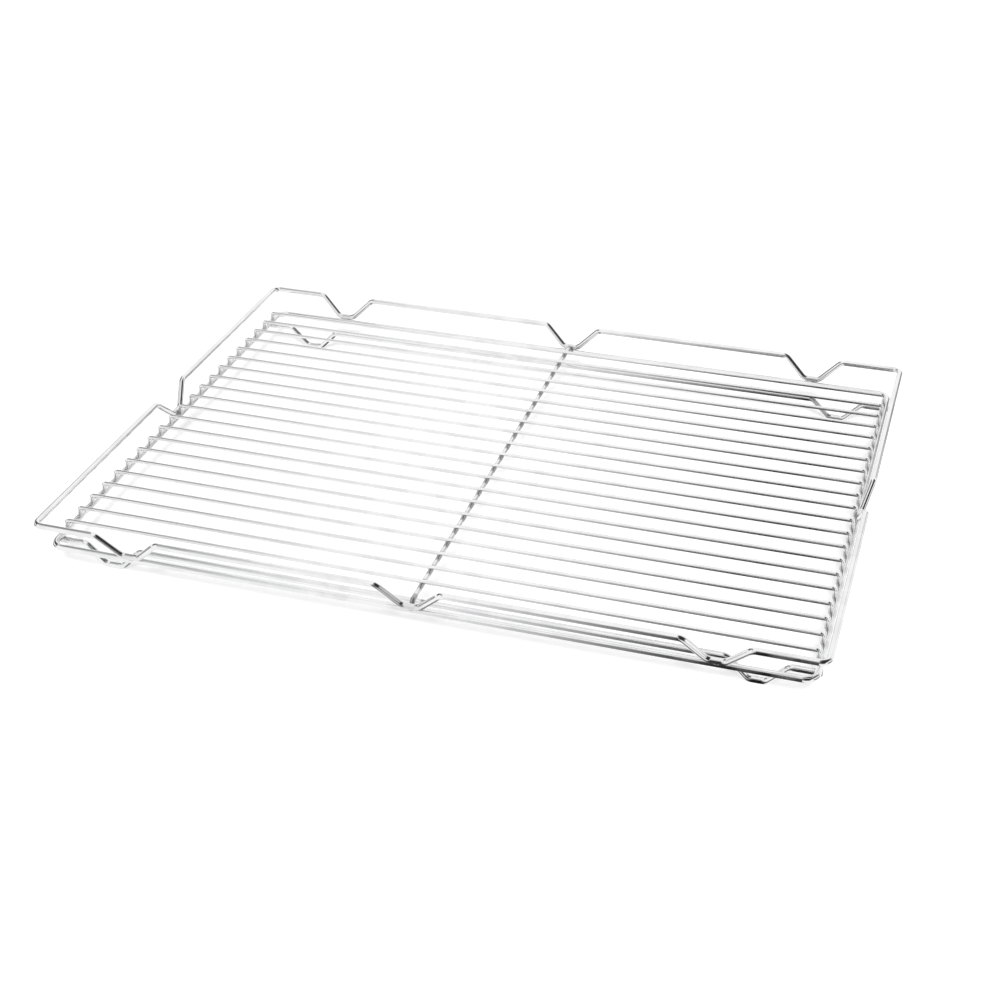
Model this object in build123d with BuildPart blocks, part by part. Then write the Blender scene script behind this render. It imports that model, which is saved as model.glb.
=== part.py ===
"""Fryer wire rack: bent and welded wires, in millimetres.

The origin is on the ground under the middle of the rack, +X runs along the grid wires and +Z is up.
"""

import os
from math import cos, radians, sin, sqrt

from build123d import *

os.makedirs("parts", exist_ok=True)

# Wire thicknesses
heavy_diameter = 3.2
cross_diameter = 2.5
grid_diameter = 2.0

# Grid of parallel wires, with the least room left beside the frame's long sides
grid_pitch = 12.7
grid_side_room = 10.0
grid_rise = 6.45

# Ends of the grid and cross wires, turned down onto the frame a little inside its middle
end_inset = 1.3
grid_bend_radius = 1.3
cross_bend_radius = 1.6

# Frame under the grid, along the middle of its wire
frame_length = 375.2
frame_width = 282.8
frame_corner_radius = 6.0

# Bends: dips of the rim and feet share one shape, flat at the bottom with sloping legs
bend_radius = 4.5
bend_bottom_length = 8.5
foot_drop = 10.0
foot_end_inset = 27.2
foot_inset = 11.4

# Rim: leans outward, and its dips rest on the frame this many degrees up from its outer side
rim_rise = 11.1
rim_flare = 3.2
rim_corner_radius = 4.0
rim_dip_spacing = 143.5
rim_shoulder_angle = 60.0

# Room left between two wires that are welded together
weld_gap = 0.02

# Heights of the wires' middles, stacked up from the ground
heavy_step = heavy_diameter + weld_gap
foot_wire_z = heavy_diameter / 2 + foot_drop
frame_z = foot_wire_z + heavy_step
grid_z = frame_z + grid_rise
cross_z = grid_z - (cross_diameter + grid_diameter) / 2 - weld_gap
rim_z = frame_z + heavy_step * sin(radians(rim_shoulder_angle)) + rim_rise

# Positions in plan
frame_half_length = frame_length / 2
frame_half_width = frame_width / 2
rim_overhang = heavy_step * cos(radians(rim_shoulder_angle)) + rim_flare
rim_half_length = frame_half_length + rim_overhang
rim_half_width = frame_half_width + rim_overhang
foot_x = frame_half_length - foot_end_inset
foot_wire_y = frame_half_width - foot_inset
foot_wire_half_length = frame_half_length + heavy_diameter / 2
cross_end_y = frame_half_width - end_inset
grid_end_x = frame_half_length - end_inset
grid_count = int((frame_width - 2 * grid_side_room) / grid_pitch) + 1
grid_first_y = -grid_pitch * (grid_count - 1) / 2

# Directions of travel along a wire
forward_x = Vector(1, 0, 0)
forward_y = Vector(0, 1, 0)
upward = Vector(0, 0, 1)


def bend_corners(middle, forward, sink):
    """Corners of one downward bend, met in order along the wire.

    Args:
        middle: Point of the straight wire over the middle of the bend.
        forward: Unit vector along the wire.
        sink: Vector from the straight wire to the flat bottom of the bend.

    Returns:
        The four corners; the legs slope at forty-five degrees.
    """
    near = forward * (bend_bottom_length / 2)
    far = near + forward * sink.length
    bottom = middle + sink
    return [middle - far, bottom - near, bottom + near, middle + far]


def end_rest_z(diameter):
    """Height at which a wire's cut end comes to rest on the frame.

    Args:
        diameter: Thickness of the wire that is cut off.

    Returns:
        The height of the cut, which stands a weld's gap off the frame.
    """
    edge_inset = max(end_inset - diameter / 2, 0)
    return frame_z + sqrt((heavy_diameter / 2 + weld_gap) ** 2 - edge_inset**2)


# Upper rim: one closed wire with three dips in each long side and one in each end
rim_front_left = Vector(-rim_half_length, -rim_half_width, rim_z)
rim_front_right = Vector(rim_half_length, -rim_half_width, rim_z)
rim_back_right = Vector(rim_half_length, rim_half_width, rim_z)
rim_back_left = Vector(-rim_half_length, rim_half_width, rim_z)
rim_sides = [
    (rim_front_left, rim_front_right, forward_x, [-rim_dip_spacing, 0, rim_dip_spacing]),
    (rim_front_right, rim_back_right, forward_y, [0]),
    (rim_back_right, rim_back_left, -forward_x, [-rim_dip_spacing, 0, rim_dip_spacing]),
    (rim_back_left, rim_front_left, -forward_y, [0]),
]
rim_points = []
rim_radii = []
for start, end, forward, dip_places in rim_sides:
    rim_points.append(start)
    rim_radii.append(rim_corner_radius)
    rim_sink = upward.cross(forward) * rim_flare - upward * rim_rise
    for place in dip_places:
        corners = bend_corners((start + end) / 2 + forward * place, forward, rim_sink)
        rim_points.extend(corners)
        rim_radii.extend([bend_radius] * len(corners))

with BuildPart() as rim_wire:
    with BuildLine() as rim_path:
        FilletPolyline(*rim_points, radius=rim_radii, close=True)
    with BuildSketch(Plane(origin=rim_path.line @ 0, z_dir=rim_path.line % 0)):
        Circle(heavy_diameter / 2)
    sweep()
rim_wire.part.label = "rim_wire"
export_step(rim_wire.part, "parts/rim_wire.step")

# Frame: one closed wire round the grid
with BuildPart() as grid_frame:
    with BuildLine(Plane.XY.offset(frame_z)) as frame_path:
        FilletPolyline(
            (-frame_half_length, -frame_half_width),
            (frame_half_length, -frame_half_width),
            (frame_half_length, frame_half_width),
            (-frame_half_length, frame_half_width),
            radius=frame_corner_radius,
            close=True,
        )
    with BuildSketch(Plane(origin=frame_path.line @ 0, z_dir=frame_path.line % 0)):
        Circle(heavy_diameter / 2)
    sweep()
grid_frame.part.label = "grid_frame"
export_step(grid_frame.part, "parts/grid_frame.step")

# Cross wire: carries the grid wires at mid length, both ends turned down onto the frame's long sides
cross_end_z = end_rest_z(cross_diameter)
with BuildPart() as cross_wire:
    with BuildLine() as cross_path:
        FilletPolyline(
            (0, -cross_end_y, cross_end_z),
            (0, -cross_end_y, cross_z),
            (0, cross_end_y, cross_z),
            (0, cross_end_y, cross_end_z),
            radius=cross_bend_radius,
        )
    with BuildSketch(Plane(origin=cross_path.line @ 0, z_dir=cross_path.line % 0)):
        Circle(cross_diameter / 2)
    sweep()
cross_wire.part.label = "cross_wire"
export_step(cross_wire.part, "parts/cross_wire.step")

# Grid wires: both ends turned down onto the ends of the frame
grid_end_z = end_rest_z(grid_diameter)
for index in range(grid_count):
    grid_y = grid_first_y + grid_pitch * index
    with BuildPart() as grid_wire:
        with BuildLine() as grid_path:
            FilletPolyline(
                (-grid_end_x, grid_y, grid_end_z),
                (-grid_end_x, grid_y, grid_z),
                (grid_end_x, grid_y, grid_z),
                (grid_end_x, grid_y, grid_end_z),
                radius=grid_bend_radius,
            )
        with BuildSketch(Plane(origin=grid_path.line @ 0, z_dir=grid_path.line % 0)):
            Circle(grid_diameter / 2)
        sweep()
    grid_wire.part.label = f"grid_wire_{index + 1:02d}"
    export_step(grid_wire.part, f"parts/grid_wire_{index + 1:02d}.step")

# Foot wires: one near the front and one near the back, each with two feet
foot_sink = -upward * foot_drop
for side, foot_y in (("front", -foot_wire_y), ("back", foot_wire_y)):
    foot_points = [Vector(-foot_wire_half_length, foot_y, foot_wire_z)]
    for foot_middle in (-foot_x, foot_x):
        foot_points.extend(bend_corners(Vector(foot_middle, foot_y, foot_wire_z), forward_x, foot_sink))
    foot_points.append(Vector(foot_wire_half_length, foot_y, foot_wire_z))
    with BuildPart() as foot_wire:
        with BuildLine() as foot_path:
            FilletPolyline(*foot_points, radius=bend_radius)
        with BuildSketch(Plane(origin=foot_path.line @ 0, z_dir=foot_path.line % 0)):
            Circle(heavy_diameter / 2)
        sweep()
    foot_wire.part.label = f"foot_wire_{side}"
    export_step(foot_wire.part, f"parts/foot_wire_{side}.step")
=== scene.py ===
"""Looks of the fryer wire rack: bright wire finishes, weld metal, floor, light and camera.

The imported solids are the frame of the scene. Lengths are in metres and +Z is up, as in the solids.
"""

import logging
import math
from collections.abc import Callable, Iterable, Iterator, Mapping, Sequence
from dataclasses import dataclass, field
from enum import Enum
from typing import Any

import bmesh
import bpy
from mathutils import Matrix, Vector

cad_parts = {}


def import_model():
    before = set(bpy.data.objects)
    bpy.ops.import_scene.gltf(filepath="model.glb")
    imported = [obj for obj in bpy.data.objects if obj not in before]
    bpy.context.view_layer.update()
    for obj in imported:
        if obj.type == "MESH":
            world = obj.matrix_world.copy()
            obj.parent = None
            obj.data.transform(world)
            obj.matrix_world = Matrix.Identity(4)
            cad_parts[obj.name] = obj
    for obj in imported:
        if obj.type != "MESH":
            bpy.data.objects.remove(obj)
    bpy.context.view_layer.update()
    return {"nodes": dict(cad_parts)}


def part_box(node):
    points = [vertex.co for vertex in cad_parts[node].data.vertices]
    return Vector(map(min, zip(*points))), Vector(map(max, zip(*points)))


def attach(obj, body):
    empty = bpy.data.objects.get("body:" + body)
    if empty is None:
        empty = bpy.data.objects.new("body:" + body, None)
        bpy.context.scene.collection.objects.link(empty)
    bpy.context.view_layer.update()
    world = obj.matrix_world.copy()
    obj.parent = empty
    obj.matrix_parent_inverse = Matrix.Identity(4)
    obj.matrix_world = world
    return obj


log = logging.getLogger("wire_rack")

BODY = "root"
MM = 0.001
FULL_TURN = 2 * math.pi
FULL_TURN_DEG = 360.0
UP = Vector((0.0, 0.0, 1.0))
Colour = tuple[float, float, float, float]


def grey(level: float) -> Colour:
    """Opaque grey of the given linear level."""
    return (level, level, level, 1.0)


def between(low: float, high: float, value: float) -> float:
    """The value, held between two limits."""
    return max(low, min(high, value))


class Slot(Enum):
    """Material slots named for each family of welds; this script stores them but doesn't read them."""

    HEAVY = "heavy_wire"
    THIN = "thin_wire"


class Axis(Enum):
    """Directions that a straight stretch of wire can run in."""

    ALONG = Vector((1.0, 0.0, 0.0))
    ACROSS = Vector((0.0, 1.0, 0.0))

    @property
    def beside(self) -> Vector:
        """Level direction square to this one."""
        return UP.cross(self.value)


class Shade:
    """A shader value that takes part in sums, as in 1 - mask * 0.5."""

    def __init__(self, tree: "ShaderTree", socket: bpy.types.NodeSocket) -> None:
        """Wraps an output socket of a node in the tree."""
        self.tree = tree
        self.socket = socket

    def _math(self, operation: str, *operands: "Shade | float") -> "Shade":
        """Result of a new Math node with these inputs, in order."""
        return self.tree.shade("ShaderNodeMath", {"operation": operation}, dict(enumerate(operands)))

    def __add__(self, other: "Shade | float") -> "Shade":
        """Sum with a value or a number."""
        return self._math("ADD", self, other)

    def __radd__(self, other: float) -> "Shade":
        """Sum with a number on the left."""
        return self._math("ADD", other, self)

    def __sub__(self, other: "Shade | float") -> "Shade":
        """Difference from a value or a number."""
        return self._math("SUBTRACT", self, other)

    def __rsub__(self, other: float) -> "Shade":
        """Difference from a number on the left."""
        return self._math("SUBTRACT", other, self)

    def __mul__(self, other: "Shade | float") -> "Shade":
        """Product with a value or a number."""
        return self._math("MULTIPLY", self, other)

    def __rmul__(self, other: float) -> "Shade":
        """Product with a number on the left."""
        return self._math("MULTIPLY", other, self)

    def __mod__(self, other: "Shade | float") -> "Shade":
        """Remainder that is never negative."""
        return self._math("FLOORED_MODULO", self, other)

    def __rmod__(self, other: float) -> "Shade":
        """Remainder of a number on the left."""
        return self._math("FLOORED_MODULO", other, self)

    def __or__(self, other: "Shade | float") -> "Shade":
        """The larger of two masks."""
        return self._math("MAXIMUM", self, other)

    def __ror__(self, other: float) -> "Shade":
        """The larger of a number and a mask."""
        return self._math("MAXIMUM", other, self)

    def __abs__(self) -> "Shade":
        """Distance from nought."""
        return self._math("ABSOLUTE", self)

    def bearing(self, level: "Shade") -> "Shade":
        """Angle, in radians, of a point that is this high and this far along the level."""
        return self._math("ARCTAN2", self, level)


@dataclass(frozen=True)
class Place:
    """Where a point of a surface lies, as three values in metres and as one vector socket."""

    x: Shade
    y: Shade
    z: Shade
    vector: bpy.types.NodeSocket


class ShaderTree:
    """Node tree of a material or of the world, filled from an empty start."""

    # Sockets of a Mix node that is set to colours
    MIX_FACTOR = 0
    MIX_FIRST = 6
    MIX_SECOND = 7
    MIX_RESULT = 2

    def __init__(self, tree: bpy.types.NodeTree) -> None:
        """Empties the tree."""
        self.tree = tree
        tree.nodes.clear()

    def node(
        self,
        kind: str,
        settings: Mapping[str, Any] | None = None,
        inputs: Mapping[str | int, Any] | None = None,
    ) -> bpy.types.Node:
        """Adds a node.

        Args:
            kind: Type name of the node.
            settings: Attributes of the node, set first; "stops" holds a ramp's stops.
            inputs: Value or link of each socket, by name or by place.

        Returns:
            The new node.
        """
        made = self.tree.nodes.new(kind)
        for name, value in (settings or {}).items():
            if name == "stops":
                self._set_stops(made.color_ramp, value)
            else:
                setattr(made, name, value)
        for key, value in (inputs or {}).items():
            socket = made.inputs[key]
            if isinstance(value, Shade):
                self.tree.links.new(value.socket, socket)
            elif isinstance(value, bpy.types.NodeSocket):
                self.tree.links.new(value, socket)
            else:
                socket.default_value = value
        return made

    @staticmethod
    def _set_stops(ramp: bpy.types.ColorRamp, stops: Sequence[tuple[float, Colour]]) -> None:
        """Gives a colour ramp its stops.

        Args:
            ramp: The ramp of a Color Ramp node.
            stops: Place and colour of each stop, in rising order.
        """
        while len(ramp.elements) < len(stops):
            ramp.elements.new(1.0)
        for element, (place, colour) in zip(ramp.elements, stops):
            element.position = place
            element.color = colour

    def shade(
        self,
        kind: str,
        settings: Mapping[str, Any] | None = None,
        inputs: Mapping[str | int, Any] | None = None,
        output: str | int = 0,
    ) -> Shade:
        """Adds a node, from the same values as the node method takes, and wraps one of its outputs."""
        return Shade(self, self.node(kind, settings, inputs).outputs[output])

    def place(self) -> Place:
        """Adds the place on the object.

        Returns:
            The place, in the frame that all the solids share.
        """
        vector = self.node("ShaderNodeTexCoord").outputs["Object"]
        split = self.node("ShaderNodeSeparateXYZ", inputs={"Vector": vector})
        x, y, z = (Shade(self, split.outputs[name]) for name in "XYZ")
        return Place(x, y, z, vector)

    def near(self, distance: Shade, full: Shade | float, gone: Shade | float) -> Shade:
        """Mask that is 1 up to a distance and fades to 0 further out.

        Args:
            distance: Distance that is tested.
            full: Distance up to which the mask is 1.
            gone: Distance from which it is 0.

        Returns:
            The mask.
        """
        return self.shade(
            "ShaderNodeMapRange",
            {"interpolation_type": "SMOOTHSTEP"},
            {"Value": distance, "From Min": full, "From Max": gone, "To Min": 1.0, "To Max": 0.0},
        )

    def curve(self, value: Shade, stops: Sequence[tuple[float, float]]) -> Shade:
        """Straight runs between stops.

        Args:
            value: Value that is looked up.
            stops: Value and result of each stop, in rising order; results lie from 0 to 1.

        Returns:
            The result.
        """
        first, last = stops[0][0], stops[-1][0]
        scale = 1 / (last - first)
        places = [((place - first) * scale, grey(result)) for place, result in stops]
        return self.shade("ShaderNodeValToRGB", {"stops": places}, {"Fac": (value - first) * scale})

    def noise(self, place: Place, size: float, detail: float = 3.0) -> Shade:
        """Soft noise about 0.5, in patches of the given size in metres."""
        inputs = {"Vector": place.vector, "Scale": 1 / size, "Detail": detail}
        return self.shade("ShaderNodeTexNoise", {"noise_dimensions": "3D"}, inputs, "Fac")

    def blend(
        self,
        factor: Shade,
        first: Colour | bpy.types.NodeSocket,
        second: Colour,
    ) -> bpy.types.NodeSocket:
        """Mixes two colours.

        Args:
            factor: Share of the second colour.
            first: Colour or colour socket at factor 0.
            second: Colour at factor 1.

        Returns:
            Colour socket with the mix.
        """
        settings = {"data_type": "RGBA", "clamp_factor": True}
        inputs = {self.MIX_FACTOR: factor, self.MIX_FIRST: first, self.MIX_SECOND: second}
        return self.node("ShaderNodeMix", settings, inputs).outputs[self.MIX_RESULT]

    def metal(self, colour: bpy.types.NodeSocket, rough: Shade, relief: Shade, depth: float) -> None:
        """Ends the tree in bare metal.

        Args:
            colour: Colour of the metal.
            rough: Its roughness.
            relief: Height of its surface, about 0 to 1.
            depth: What a height of 1 stands for, in metres.
        """
        bump = self.node("ShaderNodeBump", inputs={"Height": relief, "Distance": depth, "Strength": 1.0})
        shader = self.node(
            "ShaderNodeBsdfPrincipled",
            inputs={
                "Base Color": colour,
                "Metallic": 1.0,
                "Roughness": rough,
                "Normal": bump.outputs["Normal"],
            },
        )
        self.node("ShaderNodeOutputMaterial", inputs={"Surface": shader.outputs["BSDF"]})

    def light(self, tone: Shade) -> None:
        """Ends the tree in a surface that only glows.

        Args:
            tone: Its brightness, from 0 to 1.
        """
        colour = self.blend(tone, grey(0.0), grey(1.0))
        shader = self.node("ShaderNodeEmission", inputs={"Color": colour})
        self.node("ShaderNodeOutputMaterial", inputs={"Surface": shader.outputs["Emission"]})


def new_material(name: str) -> tuple[bpy.types.Material, ShaderTree]:
    """Makes a material with an empty tree.

    Args:
        name: Name of the material.

    Returns:
        The material and its tree.
    """
    material = bpy.data.materials.new(name)
    material.use_nodes = True
    return material, ShaderTree(material.node_tree)


TintAndShadeMask = Callable[[ShaderTree, Place], Shade]


@dataclass(frozen=True)
class WireFinish:
    """Bright drawn wire with faint haze, and darker, duller metal where welding heated it; on the cross
    wire that darkening is also painted shade beside the grid wires that lie on it.
    """

    name: str
    tint_and_shade_strength: float
    colour: Colour = (0.915, 0.915, 0.92, 1.0)
    haze_colour: Colour = (0.86, 0.86, 0.87, 1.0)
    # Colour of weld tint, and of the painted shade on the cross wire.
    tint_and_shade_colour: Colour = (0.36, 0.35, 0.34, 1.0)
    roughness: float = 0.10
    haze_roughness: float = 0.10
    tint_and_shade_roughness: float = 0.16
    haze_size: float = 14 * MM
    haze_edge: tuple[float, float] = (0.35, 0.65)
    tint_and_shade_least: float = 0.75
    tint_and_shade_unevenness: float = 0.5
    ripple_size: float = 6 * MM
    ripple_detail: float = 2.0
    ripple_height: float = 0.02 * MM

    def material(self, tint_and_shade_mask: TintAndShadeMask) -> bpy.types.Material:
        """Builds the material.

        Args:
            tint_and_shade_mask: Gives the mask of the weld-tinted zones, which on the cross wire also
                holds painted shade, from the tree and the place.

        Returns:
            The finished material.
        """
        material, tree = new_material(self.name)
        place = tree.place()
        haze = tree.near(1 - tree.noise(place, self.haze_size), *self.haze_edge)
        ripple = tree.noise(place, self.ripple_size, self.ripple_detail)
        uneven = self.tint_and_shade_least + self.tint_and_shade_unevenness * ripple
        # Weld tint darkens the colour here, and on the cross wire the same mask paints shade beside the
        # grid wires.
        tinted_and_shaded = tint_and_shade_mask(tree, place) * uneven * self.tint_and_shade_strength
        clean = tree.blend(haze, self.colour, self.haze_colour)
        colour = tree.blend(tinted_and_shaded, clean, self.tint_and_shade_colour)
        rough = self.roughness + haze * self.haze_roughness + tinted_and_shaded * self.tint_and_shade_roughness
        tree.metal(colour, rough, ripple, self.ripple_height)
        return material


@dataclass(frozen=True)
class WeldFinish:
    """Weld metal: dull, uneven and a little darker than the wire."""

    name: str
    colour: Colour = (0.80, 0.80, 0.805, 1.0)
    burnt_colour: Colour = (0.48, 0.47, 0.46, 1.0)
    roughness: float = 0.18
    grain_roughness: float = 0.16
    grain_size: float = 1.2 * MM
    grain_height: float = 0.05 * MM

    def material(self) -> bpy.types.Material:
        """Builds the material.

        Returns:
            The finished material.
        """
        material, tree = new_material(self.name)
        grain = tree.noise(tree.place(), self.grain_size)
        colour = tree.blend(grain, self.colour, self.burnt_colour)
        tree.metal(colour, self.roughness + grain * self.grain_roughness, grain, self.grain_height)
        return material


@dataclass(frozen=True)
class Sizes:
    """Places and thicknesses of the wires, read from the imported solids."""

    heavy_radius: float
    cross_radius: float
    grid_radius: float
    frame_half_length: float
    frame_half_width: float
    frame_z: float
    cross_z: float
    cross_end_y: float
    cross_end_z: float
    grid_end_x: float
    grid_end_z: float
    foot_z: float
    foot_y: float
    grid_ys: tuple[float, ...]
    pitch: float
    dip_spacing: float = 143.5 * MM
    shoulder_angle: float = math.radians(60.0)
    weld_gap: float = 0.02 * MM

    @classmethod
    def read(cls, nodes: Iterable[str]) -> "Sizes":
        """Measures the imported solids.

        Args:
            nodes: Names of all nodes.

        Returns:
            The sizes.
        """
        frame_low, frame_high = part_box("grid_frame")
        cross_low, cross_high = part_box("cross_wire")
        foot_low, foot_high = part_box("foot_wire_back")
        grid = [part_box(name) for name in sorted(nodes) if name.startswith("grid_wire_")]
        grid_low, grid_high = grid[0]
        grid_ys = tuple((low.y + high.y) / 2 for low, high in grid)
        heavy_radius = (frame_high.z - frame_low.z) / 2
        cross_radius = (cross_high.x - cross_low.x) / 2
        grid_radius = (grid_high.y - grid_low.y) / 2
        return cls(
            heavy_radius=heavy_radius,
            cross_radius=cross_radius,
            grid_radius=grid_radius,
            frame_half_length=frame_high.x - heavy_radius,
            frame_half_width=frame_high.y - heavy_radius,
            frame_z=(frame_low.z + frame_high.z) / 2,
            cross_z=cross_high.z - cross_radius,
            cross_end_y=cross_high.y - cross_radius,
            cross_end_z=cross_low.z,
            grid_end_x=grid_high.x - grid_radius,
            grid_end_z=grid_low.z,
            foot_z=foot_high.z - heavy_radius,
            foot_y=(foot_low.y + foot_high.y) / 2,
            grid_ys=grid_ys,
            pitch=(grid_ys[-1] - grid_ys[0]) / (len(grid_ys) - 1),
        )


@dataclass(frozen=True)
class TintAndShadeZones:
    """Where welding dulled each kind of wire and painted shade darkens the cross wire, up to a full
    distance and gone at a larger one.
    """

    sizes: Sizes
    full: float = 1.6 * MM
    gone: float = 4.2 * MM
    rim_full: float = 3.2 * MM
    rim_gone: float = 8.4 * MM
    # The cross wire's zones are painted shade beside the grid wires that lie on it, with some weld tint.
    cross_full: float = 2.9 * MM
    cross_gone: float = 4.9 * MM
    cross_between: float = 0.1

    def _beside_grid_wire(self, tree: ShaderTree, y: Shade, full: float, gone: float) -> Shade:
        """Close to the line of a grid wire, anywhere along Y."""
        half = self.sizes.pitch / 2
        return tree.near(abs((y + half) % self.sizes.pitch - half), full, gone)

    def on_grid_wire(self, tree: ShaderTree, place: Place) -> Shade:
        """Both turned-down ends."""
        return tree.near(place.z - self.sizes.grid_end_z, self.full, self.gone)

    def on_cross_wire(self, tree: ShaderTree, place: Place) -> Shade:
        """Painted shade with some weld tint on both sides of each grid wire, and a little darkening all
        along in between.
        """
        beside = self._beside_grid_wire(tree, place.y, self.cross_full, self.cross_gone)
        return self.cross_between + (1 - self.cross_between) * beside

    def on_frame(self, tree: ShaderTree, place: Place) -> Shade:
        """Under each end of a grid wire.

        Args:
            tree: Tree that gets the nodes.
            place: Place on the frame.

        Returns:
            The mask.
        """
        last = abs(self.sizes.grid_ys[0]) + self.full
        in_grid = tree.near(abs(place.y), last, last + self.gone)
        beside = self._beside_grid_wire(tree, place.y, self.full, self.gone)
        return beside * in_grid * self.on_foot_wire(tree, place)

    def on_rim(self, tree: ShaderTree, place: Place) -> Shade:
        """The bottoms of the dips, where they meet the frame."""
        return tree.near(place.z - self.sizes.frame_z, self.rim_full, self.rim_gone)

    def on_foot_wire(self, tree: ShaderTree, place: Place) -> Shade:
        """Both ends, where they meet the frame."""
        return tree.near(abs(abs(place.x) - self.sizes.frame_half_length), self.full, self.gone)


@dataclass
class WeldMetal:
    """Weld metal squeezed out or run in where two wires meet, gathered in one mesh.

    Reaches, rises and flares are shares of a wire's radius.
    """

    name: str
    slot: Slot
    around: int = 20
    sink: float = 0.08 * MM
    flash_reach: float = 0.92
    flash_waist: float = 0.78
    flash_shoulder: float = 0.2
    collar_rings: int = 7
    collar_rise: float = 0.8
    collar_flare: float = 0.45
    collar_reach: float = 0.92
    bead_rings: int = 9
    bead_points: int = 9
    bead_angle: float = math.radians(52.0)
    bead_tip: float = 0.02
    bead_hollow: float = 0.18
    bead_root: float = 0.3
    mesh: bmesh.types.BMesh = field(default_factory=bmesh.new)

    def _skin(self, rings: Sequence[Sequence[Vector]], first: Vector, last: Vector) -> None:
        """Joins rings of points into a closed skin.

        Args:
            rings: Rings of equally many points, in order.
            first: Middle of the cap before the first ring.
            last: Middle of the cap after the last ring.
        """
        loops = [[self.mesh.verts.new(point) for point in ring] for ring in rings]
        count = len(loops[0])
        for low, high in zip(loops, loops[1:]):
            for i in range(count):
                j = (i + 1) % count
                self.mesh.faces.new((low[i], low[j], high[j], high[i]))
        for middle, loop in ((first, loops[0]), (last, loops[-1])):
            tip = self.mesh.verts.new(middle)
            for i in range(count):
                self.mesh.faces.new((loop[i], loop[(i + 1) % count], tip))

    def _turns(self) -> Iterator[tuple[float, float]]:
        """Evenly spaced angles once round.

        Yields:
            Cosine and sine of each angle.
        """
        for i in range(self.around):
            angle = FULL_TURN * i / self.around
            yield math.cos(angle), math.sin(angle)

    def crossing(self, contact: Vector, upper: Axis, upper_radius: float, lower_radius: float) -> None:
        """Adds the flash between two wires that cross, one on the other.

        Args:
            contact: Top of the lower wire where they meet.
            upper: Direction of the upper wire; the lower one is square to it.
            upper_radius: Radius of the upper wire.
            lower_radius: Radius of the lower wire.
        """
        reach = self.flash_reach * min(upper_radius, lower_radius)
        waist, low = self.flash_waist, self.flash_shoulder
        shoulder = (1 + waist) / 2
        profile = ((0.0, 1.0), (low, shoulder), (0.5, waist), (1 - low, shoulder), (1.0, 1.0))
        rings = []
        for share, spread in profile:
            ring = []
            for cosine, sine in self._turns():
                run = reach * spread * cosine
                side = reach * spread * sine
                floor = math.sqrt(lower_radius**2 - run**2) - lower_radius - self.sink
                roof = upper_radius - math.sqrt(upper_radius**2 - side**2) + self.sink
                height = floor + (roof - floor) * share
                ring.append(contact + upper.value * run + upper.beside * side + UP * height)
            rings.append(ring)
        self._skin(rings, contact - UP * self.sink, contact + UP * self.sink)

    def collar(self, end: Vector, end_radius: float, lying: Vector, along: Axis, radius: float) -> None:
        """Adds the fillet round a turned-down end that stands on a lying wire.

        Args:
            end: Middle of the cut at the end.
            end_radius: Radius of the wire that is turned down.
            lying: Point of the lying wire's middle line that is level with the end along it.
            along: Direction of the lying wire.
            radius: Radius of the lying wire.
        """
        offset = (end - lying).dot(along.beside)
        rise = self.collar_rise * end_radius
        flare = self.collar_flare * end_radius
        limit = self.collar_reach * radius
        rings = []
        for step in range(self.collar_rings):
            share = step / (self.collar_rings - 1)
            spread = end_radius - self.sink / 2 + flare * (1 - share) ** 2
            free = min(1.0, 2 * share)
            ring = []
            for cosine, sine in self._turns():
                side = offset + spread * sine
                seat = between(-limit, limit, side)
                floor = lying.z + math.sqrt(radius**2 - seat**2) - self.sink
                height = floor + (end.z + rise - floor) * share
                across = seat + (side - seat) * free
                point = lying + along.value * (spread * cosine) + along.beside * across
                ring.append(Vector((point.x, point.y, height)))
            rings.append(ring)
        inside = Vector((end.x, end.y, lying.z)) - along.beside * (offset / 2)
        self._skin(rings, inside, end + UP * rise)

    def groove(self, contact: Vector, along: Axis, apart: Vector, radius: float, length: float) -> None:
        """Adds two short beads in the grooves between equal wires that lie along each other.

        Args:
            contact: Point where the wires touch.
            along: Direction of both wires.
            apart: Unit vector from one wire's middle to the other's.
            radius: Radius of the wires.
            length: Length of each bead.
        """
        for opening in (along.value.cross(apart), apart.cross(along.value)):
            rings = []
            for step in range(self.bead_rings):
                share = 2 * step / (self.bead_rings - 1) - 1
                angle = self.bead_angle * math.sqrt(max(1 - share**2, self.bead_tip))
                wide = apart * (radius * (1 - math.cos(angle)) + self.sink)
                high = opening * (radius * math.sin(angle))
                rings.append(self._bead_ring(contact + along.value * (length / 2 * share), wide, high))
            first, last = (sum(ring, Vector()) / len(ring) for ring in (rings[0], rings[-1]))
            self._skin(rings, first, last)

    def _bead_ring(self, middle: Vector, wide: Vector, high: Vector) -> list[Vector]:
        """Outline of a bead, with a hollow face and a narrower root.

        Args:
            middle: Point between the wires.
            wide: From the middle to one side of the face.
            high: From the middle to the level of the face's edges.

        Returns:
            The points, once round.
        """
        ring = []
        for i in range(self.bead_points):
            share = 2 * i / (self.bead_points - 1) - 1
            level = 1 - self.bead_hollow * (1 - share**2)
            ring.append(middle + wide * share + high * level)
        for share in (0.5, -0.5):
            ring.append(middle + wide * share + high * self.bead_root)
        return ring

    def finish(self, material: bpy.types.Material) -> None:
        """Turns the gathered welds into one piece of the rack.

        Args:
            material: Finish of the weld metal.
        """
        bmesh.ops.recalc_face_normals(self.mesh, faces=self.mesh.faces)
        data = bpy.data.meshes.new(self.name)
        self.mesh.to_mesh(data)
        self.mesh.free()
        data.polygons.foreach_set("use_smooth", [True] * len(data.polygons))
        data.materials.append(material)
        piece = bpy.data.objects.new(self.name, data)
        bpy.context.scene.collection.objects.link(piece)
        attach(piece, BODY)
        log.info("%s: %d faces", self.name, len(data.polygons))


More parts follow.
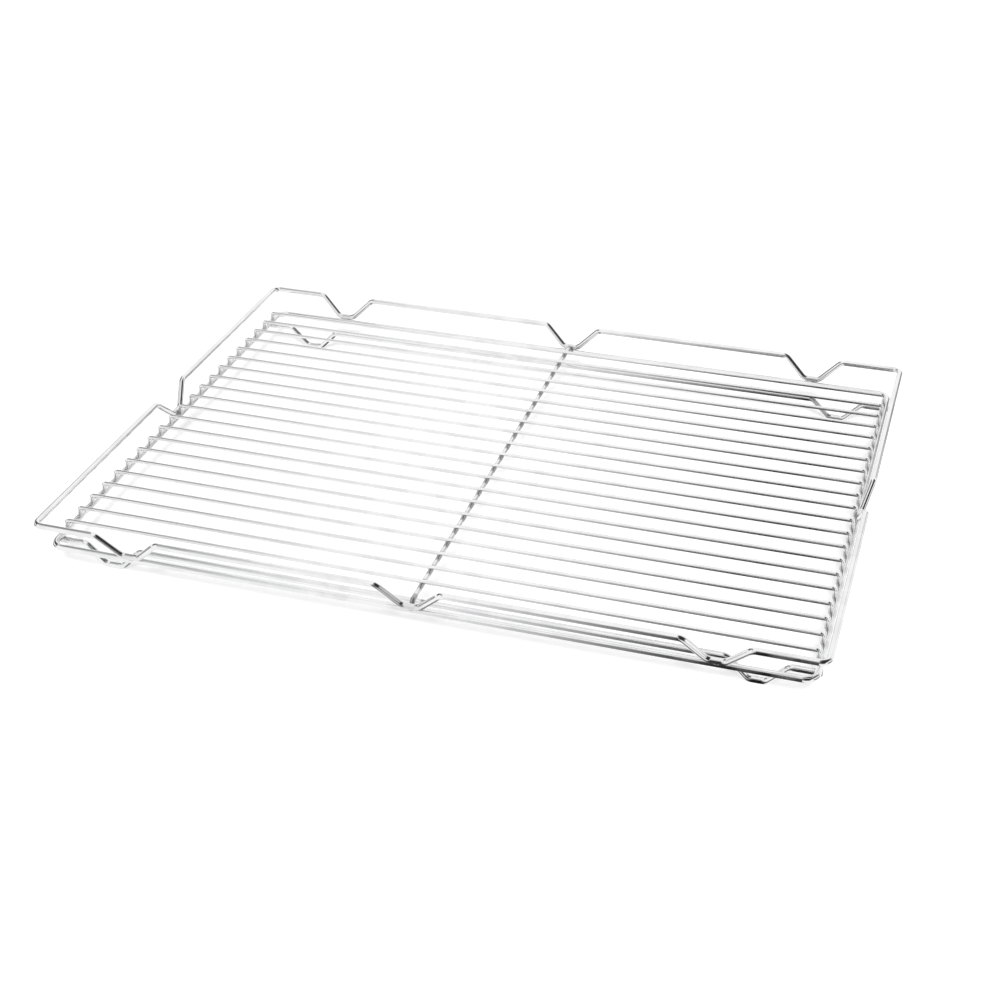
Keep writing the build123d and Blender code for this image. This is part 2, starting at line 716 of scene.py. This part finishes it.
@dataclass
class Welds:
    """All welds of the rack, one piece for each family."""

    sizes: Sizes
    finish: WeldFinish
    bead_length: float = 4.6 * MM

    def build(self) -> None:
        """Builds every family of welds."""
        material = self.finish.material()
        families = (self._grid_middle(), self._grid_end("left", -1), self._grid_end("right", 1))
        for metal in (*families, self._cross_wire(), self._rim(), self._feet()):
            metal.finish(material)

    def _grid_middle(self) -> WeldMetal:
        """Grid wires on the cross wire.

        Returns:
            The weld metal.
        """
        sizes = self.sizes
        metal = WeldMetal("grid_middle_welds", Slot.THIN)
        for y in sizes.grid_ys:
            contact = Vector((0, y, sizes.cross_z + sizes.cross_radius))
            metal.crossing(contact, Axis.ALONG, sizes.grid_radius, sizes.cross_radius)
        return metal

    def _grid_end(self, name: str, side: int) -> WeldMetal:
        """Turned-down ends of the grid wires on one end of the frame.

        Args:
            name: Name of the side.
            side: -1 for the left end, 1 for the right one.

        Returns:
            The weld metal.
        """
        sizes = self.sizes
        metal = WeldMetal(f"grid_{name}_welds", Slot.THIN)
        for y in sizes.grid_ys:
            end = Vector((side * sizes.grid_end_x, y, sizes.grid_end_z))
            lying = Vector((side * sizes.frame_half_length, y, sizes.frame_z))
            metal.collar(end, sizes.grid_radius, lying, Axis.ACROSS, sizes.heavy_radius)
        return metal

    def _cross_wire(self) -> WeldMetal:
        """Turned-down ends of the cross wire on the frame's long sides.

        Returns:
            The weld metal.
        """
        sizes = self.sizes
        metal = WeldMetal("cross_wire_welds", Slot.THIN)
        for side in (-1, 1):
            end = Vector((0, side * sizes.cross_end_y, sizes.cross_end_z))
            lying = Vector((0, side * sizes.frame_half_width, sizes.frame_z))
            metal.collar(end, sizes.cross_radius, lying, Axis.ALONG, sizes.heavy_radius)
        return metal

    def _rim(self) -> WeldMetal:
        """Dips of the rim on the frame's outer shoulder.

        Returns:
            The weld metal.
        """
        sizes = self.sizes
        metal = WeldMetal("rim_welds", Slot.HEAVY)
        out, rise = math.cos(sizes.shoulder_angle), math.sin(sizes.shoulder_angle)
        half_step = sizes.heavy_radius + sizes.weld_gap / 2
        for side in (-1, 1):
            apart = Vector((0, side * out, rise))
            for x in (-sizes.dip_spacing, 0.0, sizes.dip_spacing):
                contact = Vector((x, side * sizes.frame_half_width, sizes.frame_z)) + apart * half_step
                metal.groove(contact, Axis.ALONG, apart, sizes.heavy_radius, self.bead_length)
            apart = Vector((side * out, 0, rise))
            contact = Vector((side * sizes.frame_half_length, 0, sizes.frame_z)) + apart * half_step
            metal.groove(contact, Axis.ACROSS, apart, sizes.heavy_radius, self.bead_length)
        return metal

    def _feet(self) -> WeldMetal:
        """Ends of the frame on the ends of the foot wires.

        Returns:
            The weld metal.
        """
        sizes = self.sizes
        metal = WeldMetal("foot_welds", Slot.HEAVY)
        for x in (-sizes.frame_half_length, sizes.frame_half_length):
            for y in (-sizes.foot_y, sizes.foot_y):
                contact = Vector((x, y, sizes.foot_z + sizes.heavy_radius))
                metal.crossing(contact, Axis.ACROSS, sizes.heavy_radius, sizes.heavy_radius)
        return metal


@dataclass
class Wires:
    """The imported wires, which keep their shape and get their finishes."""

    nodes: Mapping[str, bpy.types.Object]
    zones: TintAndShadeZones

    def dress(self) -> None:
        """Gives each packed wire the finish of its family."""
        zones = self.zones
        families = {
            "rim_wire": WireFinish("rim_chrome", tint_and_shade_strength=0.15).material(zones.on_rim),
            "grid_frame": WireFinish("frame_chrome", tint_and_shade_strength=0.25).material(zones.on_frame),
            "foot_wire": WireFinish("foot_chrome", tint_and_shade_strength=0.3).material(zones.on_foot_wire),
            # The cross wire's strong darkening is mostly painted shade beside the grid wires, with some
            # weld tint.
            "cross_wire": WireFinish("cross_chrome", tint_and_shade_strength=0.8).material(zones.on_cross_wire),
            "grid_wire": WireFinish("grid_chrome", tint_and_shade_strength=0.5).material(zones.on_grid_wire),
        }
        for name, node in sorted(self.nodes.items()):
            material = next(made for family, made in families.items() if name.startswith(family))
            for slot in node.material_slots:
                slot.material = material
            log.info("%s: %s", name, material.name)


def add_to_stage(name: str, mesh: bmesh.types.BMesh, material: bpy.types.Material) -> bpy.types.Object:
    """Adds a thing of the studio that isn't part of the rack.

    Args:
        name: Name of the object.
        mesh: Its shape.
        material: Its material.

    Returns:
        The object.
    """
    data = bpy.data.meshes.new(name)
    mesh.to_mesh(data)
    mesh.free()
    data.materials.append(material)
    thing = bpy.data.objects.new(name, data)
    bpy.context.scene.collection.objects.link(thing)
    log.info("%s: stage", name)
    return thing


@dataclass(frozen=True)
class DarkBand:
    """How a dark strip of the round cloth lies at one place along the rack.

    Heights are angles from the front horizon, and the tone is that of the strip's middle, from 0 for
    black to 1 for white.
    """

    x: float
    height_deg: float
    half_width_deg: float
    tone: float

    @property
    def height_share(self) -> float:
        """Height as a share of a turn, counted from the back horizon."""
        return self.height_deg / FULL_TURN_DEG + 0.5

    @property
    def half_width_share(self) -> float:
        """Half of the width as a share of a turn."""
        return self.half_width_deg / FULL_TURN_DEG


@dataclass(frozen=True)
class Cloths:
    """Cloths that only the bright metal sees, as a studio sets round a mirror finish.

    The round cloth is a white tunnel about X with two dark strips, and a wall closes each end of it.
    """

    radius: float = 1.5
    left: float = -3.2
    right: float = 3.0
    mesh_steps: int = 24
    long_strip: tuple[DarkBand, ...] = (
        DarkBand(-3.20, 80, 60, 0.05),
        DarkBand(-2.50, 85, 60, 0.05),
        DarkBand(-1.90, 115, 52, 0.05),
        DarkBand(-1.40, 124, 46, 0.05),
        DarkBand(-1.08, 108, 50, 0.28),
        DarkBand(-0.93, 98, 50, 0.28),
        DarkBand(-0.81, 85, 50, 0.36),
        DarkBand(-0.725, 62, 50, 0.49),
        DarkBand(-0.64, 50, 48, 0.78),
        DarkBand(-0.557, 45, 45, 0.95),
        DarkBand(-0.47, 30, 45, 1.0),
        DarkBand(-0.42, -50, 83, 1.0),
        DarkBand(-0.352, -50, 83, 0.80),
        DarkBand(-0.25, -50, 85, 0.52),
        DarkBand(-0.133, -48, 90, 0.18),
        DarkBand(-0.026, -46, 102, 0.02),
        DarkBand(0.05, -44, 110, 0.0),
        DarkBand(0.12, -46, 96, 0.04),
        DarkBand(0.30, -50, 83, 1.0),
        DarkBand(3.00, -50, 83, 1.0),
    )
    right_strip: tuple[DarkBand, ...] = (
        DarkBand(0.12, 55, 85, 1.0),
        DarkBand(0.28, 55, 85, 0.15),
        DarkBand(0.50, 55, 85, 0.03),
        DarkBand(1.40, 58, 90, 0.03),
        DarkBand(1.80, 75, 80, 0.03),
        DarkBand(2.10, 90, 70, 0.05),
        DarkBand(2.40, 95, 65, 0.05),
        DarkBand(2.90, 95, 65, 1.0),
    )
    strip_core: float = 0.55
    wall_tone: float = 0.2
    wall_full: float = -0.1
    wall_gone: float = 0.35
    card_place: tuple[float, float] = (0.70, 1.17)
    card_half_width: float = 0.17
    card_half_height: float = 0.9
    card_core: float = 0.4
    card_tone: float = 0.2

    def build(self) -> None:
        """Hangs every cloth."""
        self._round()
        self._end_wall("left_wall_cloth", self.left)
        self._end_wall("right_wall_cloth", self.right)
        self._card()

    def _darkness(self, tree: ShaderTree, strip: Sequence[DarkBand], x: Shade, height: Shade) -> Shade:
        """How dark a strip of the round cloth is.

        Args:
            tree: Tree that gets the nodes.
            strip: The strip, from left to right.
            x: Place along the rack.
            height: Angle from the front horizon, in radians.

        Returns:
            0 where the cloth is white and 1 where it is black.
        """
        middle = tree.curve(x, [(band.x, band.height_share) for band in strip]) * FULL_TURN - math.pi
        half_width = tree.curve(x, [(band.x, band.half_width_share) for band in strip]) * FULL_TURN
        depth = 1 - tree.curve(x, [(band.x, band.tone) for band in strip])
        return depth * tree.near(abs(height - middle), half_width * self.strip_core, half_width)

    def _round(self) -> None:
        """The white tunnel round the rack, with its dark strips."""
        length = self.right - self.left

        def point(along: float, around: float) -> Vector:
            """Point of the tunnel."""
            y, z = (self.radius * turn(FULL_TURN * around) for turn in (math.cos, math.sin))
            return Vector((self.left + length * along, y, z))

        material, tree = new_material("round_cloth")
        place = tree.place()
        height = place.z.bearing(0 - place.y)
        long_dark = self._darkness(tree, self.long_strip, place.x, height)
        right_dark = self._darkness(tree, self.right_strip, place.x, height)
        tree.light(1 - (long_dark | right_dark))
        self._hang("round_cloth", point, material)

    def _end_wall(self, name: str, x: float) -> None:
        """A wall across one end of the tunnel, dark in its lower part.

        Args:
            name: Name of the wall.
            x: Its place along the rack.
        """

        def point(across: float, up: float) -> Vector:
            """Point of the upright wall."""
            return Vector((x, self.radius * (2 * across - 1), self.radius * (2 * up - 1)))

        material, tree = new_material(name)
        dark = tree.near(tree.place().z, self.wall_full, self.wall_gone)
        tree.light(1 - (1 - self.wall_tone) * dark)
        self._hang(name, point, material)

    def _card(self) -> None:
        """A dark card behind the right of the rack, with soft edges."""
        middle = Vector((*self.card_place, 0.0))
        sideways = UP.cross(middle).normalized()

        def point(along: float, up: float) -> Vector:
            """Point of the upright card."""
            across = sideways * (self.card_half_width * (2 * along - 1))
            return middle + across + UP * (self.card_half_height * (2 * up - 1))

        material, tree = new_material("card_cloth")
        place = tree.place()
        from_middle = abs(place.x * sideways.x + place.y * sideways.y)
        core_height = self.card_half_height * self.card_core
        in_width = tree.near(from_middle, 0.0, self.card_half_width)
        in_height = tree.near(abs(place.z), core_height, self.card_half_height)
        tree.light(1 - (1 - self.card_tone) * (in_width * in_height))
        self._hang("card_cloth", point, material)

    def _hang(
        self,
        name: str,
        point: Callable[[float, float], Vector],
        material: bpy.types.Material,
    ) -> None:
        """Adds a cloth that only mirror rays meet.

        Args:
            name: Name of the cloth.
            point: Gives the point at two shares from 0 to 1.
            material: Its material.
        """
        shares = [step / self.mesh_steps for step in range(self.mesh_steps + 1)]
        mesh = bmesh.new()
        rows = [[mesh.verts.new(point(first, second)) for second in shares] for first in shares]
        for near_row, far_row in zip(rows, rows[1:]):
            for j in range(self.mesh_steps):
                mesh.faces.new((near_row[j], far_row[j], far_row[j + 1], near_row[j + 1]))
        cloth = add_to_stage(name, mesh, material)
        cloth.visible_camera = False
        cloth.visible_diffuse = False
        cloth.visible_shadow = False


@dataclass
class Studio:
    """White floor, soft light, and the camera."""

    floor_radius: float = 9.0
    floor_segments: int = 96
    floor_albedo: float = 0.8
    floor_glow: float = 0.44
    ambient: float = 0.45
    lamp_place: tuple[float, float, float] = (0.35, -1.15, 1.25)
    lamp_width_deg: float = 15.0
    lamp_strength: float = 2.35
    eye: tuple[float, float, float] = (0.2345, -0.7638, 0.4735)
    camera_tilt_deg: float = 58.97
    camera_turn_deg: float = 17.10
    lens_mm: float = 62.46

    def build(self) -> None:
        """Builds the studio and sets the view transform."""
        bpy.context.scene.view_settings.view_transform = "Standard"
        self._world()
        self._floor()
        self._lamp()
        self._camera()

    @staticmethod
    def _seen(tree: ShaderTree) -> Shade:
        """1 for rays of the camera, of mirrors and of clear things, 0 for rays that light the rack.

        Args:
            tree: Tree that gets the node.

        Returns:
            The mask.
        """
        path = tree.node("ShaderNodeLightPath")
        camera, glossy, clear = (
            Shade(tree, path.outputs[name])
            for name in ("Is Camera Ray", "Is Glossy Ray", "Is Transmission Ray")
        )
        return camera | glossy | clear

    def _world(self) -> None:
        """White all round for the eye, dimmer as a light."""
        world = bpy.data.worlds.new("studio_white")
        world.use_nodes = True
        bpy.context.scene.world = world
        tree = ShaderTree(world.node_tree)
        colour = tree.blend(self._seen(tree), grey(self.ambient), grey(1.0))
        background = tree.node("ShaderNodeBackground", inputs={"Color": colour})
        tree.node("ShaderNodeOutputWorld", inputs={"Surface": background.outputs["Background"]})

    def _floor(self) -> None:
        """A white floor that keeps the rack's shadow, and that the metal doesn't mirror."""
        mesh = bmesh.new()
        segments, radius = self.floor_segments, self.floor_radius
        bmesh.ops.create_circle(mesh, cap_ends=True, segments=segments, radius=radius)
        material, tree = new_material("floor_white")
        glow = tree.blend(self._seen(tree), grey(0.0), grey(1.0))
        shader = tree.node(
            "ShaderNodeBsdfPrincipled",
            inputs={
                "Base Color": grey(self.floor_albedo),
                "Roughness": 1.0,
                "Specular IOR Level": 0.0,
                "Emission Color": glow,
                "Emission Strength": self.floor_glow,
            },
        )
        tree.node("ShaderNodeOutputMaterial", inputs={"Surface": shader.outputs["BSDF"]})
        floor = add_to_stage("floor", mesh, material)
        floor.visible_glossy = False

    def _lamp(self) -> None:
        """One wide soft lamp over the front of the rack, which the metal itself doesn't mirror."""
        data = bpy.data.lights.new("softbox", "SUN")
        data.angle = math.radians(self.lamp_width_deg)
        data.energy = self.lamp_strength
        lamp = bpy.data.objects.new("softbox", data)
        lamp.location = self.lamp_place
        lamp.rotation_mode = "QUATERNION"
        lamp.rotation_quaternion = (-lamp.location).to_track_quat("-Z", "Y")
        lamp.visible_glossy = False
        bpy.context.scene.collection.objects.link(lamp)

    def _camera(self) -> None:
        """The camera at the photograph's place."""
        data = bpy.data.cameras.new("camera")
        data.lens = self.lens_mm
        camera = bpy.data.objects.new("camera", data)
        turn = Matrix.Rotation(math.radians(self.camera_turn_deg), 4, "Z")
        tilt = Matrix.Rotation(math.radians(self.camera_tilt_deg), 4, "X")
        camera.matrix_world = Matrix.Translation(self.eye) @ turn @ tilt
        bpy.context.scene.collection.objects.link(camera)
        bpy.context.scene.camera = camera


def main() -> None:
    """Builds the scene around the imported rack."""
    logging.basicConfig(level=logging.INFO, format="%(name)s: %(message)s")
    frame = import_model()
    sizes = Sizes.read(frame["nodes"])
    Wires(frame["nodes"], TintAndShadeZones(sizes)).dress()
    Welds(sizes, WeldFinish("weld_metal")).build()
    Cloths().build()
    Studio().build()


if __name__ == "__main__":
    main()
